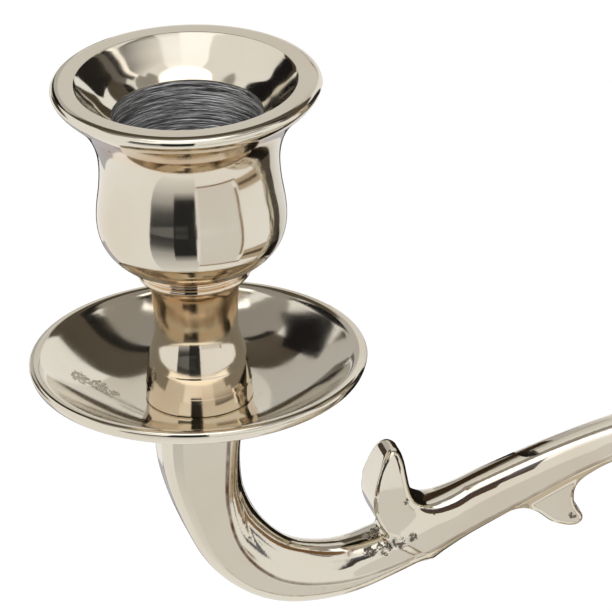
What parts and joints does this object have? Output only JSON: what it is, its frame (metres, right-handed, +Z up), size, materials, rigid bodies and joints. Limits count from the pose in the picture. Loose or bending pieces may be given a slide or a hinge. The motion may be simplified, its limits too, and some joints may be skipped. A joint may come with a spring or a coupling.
{
  "type": "candle stand",
  "caption": "Free-standing candelabra: scroll arms and a raised centre light on a turned stem and round base, each cup screwed down over a drip pan.",
  "frame": {"origin": "on the stem's axis at the underside of the felt, where the stand meets the table", "axes": "+Z up, +X along the right arm, -Y towards the front"},
  "size_m": [0.2618, 0.11, 0.25],
  "materials": {
    "polished_nickel": "cast aluminium, turned or filed, plated with warm bright nickel and polished",
    "zinc_steel": "zinc plated steel",
    "felt": "dense dark green felt"
  },
  "bodies": {
    "root": {"base_felt": "felt", "base_shell": "polished_nickel", "base_washer": "zinc_steel", "base_nut": "zinc_steel", "tie_rod": "zinc_steel", "stem_foot": "polished_nickel", "stem_knop": "polished_nickel", "stem_shaft": "polished_nickel", "arm_hub": "polished_nickel", "stem_column": "polished_nickel", "left_arm": "polished_nickel", "right_arm": "polished_nickel", "left_arm_screw": "zinc_steel", "right_arm_screw": "zinc_steel", "left_pan": "polished_nickel", "centre_pan": "polished_nickel", "right_pan": "polished_nickel"},
    "left_stud_body": {"left_stud": "zinc_steel"},
    "left_cup_body": {"left_cup": "polished_nickel"},
    "centre_stud_body": {"centre_stud": "zinc_steel"},
    "centre_cup_body": {"centre_cup": "polished_nickel"},
    "right_stud_body": {"right_stud": "zinc_steel"},
    "right_cup_body": {"right_cup": "polished_nickel"}
  },
  "joints": [
    {"name": "left_cup_rise", "type": "slide", "parent": "root", "child": "left_stud_body", "axis": [0, 0, 1], "range_m": [0, 0.008]},
    {"name": "left_cup_turn", "type": "hinge", "parent": "left_stud_body", "child": "left_cup_body", "pos_m": [-0.105, 0, 0.1519], "axis": [0, 0, 1], "range_deg": [0, 2880]},
    {"name": "centre_cup_rise", "type": "slide", "parent": "root", "child": "centre_stud_body", "axis": [0, 0, 1], "range_m": [0, 0.008]},
    {"name": "centre_cup_turn", "type": "hinge", "parent": "centre_stud_body", "child": "centre_cup_body", "pos_m": [0, 0, 0.1969], "axis": [0, 0, 1], "range_deg": [0, 2880]},
    {"name": "right_cup_rise", "type": "slide", "parent": "root", "child": "right_stud_body", "axis": [0, 0, 1], "range_m": [0, 0.008]},
    {"name": "right_cup_turn", "type": "hinge", "parent": "right_stud_body", "child": "right_cup_body", "pos_m": [0.105, 0, 0.1519], "axis": [0, 0, 1], "range_deg": [0, 2880]}
  ],
  "couplings": [
    {"joint": "left_cup_rise", "follows": "left_cup_turn", "m_per_rad": 0.00015915},
    {"joint": "centre_cup_rise", "follows": "centre_cup_turn", "m_per_rad": 0.00015915},
    {"joint": "right_cup_rise", "follows": "right_cup_turn", "m_per_rad": 0.00015915}
  ]
}
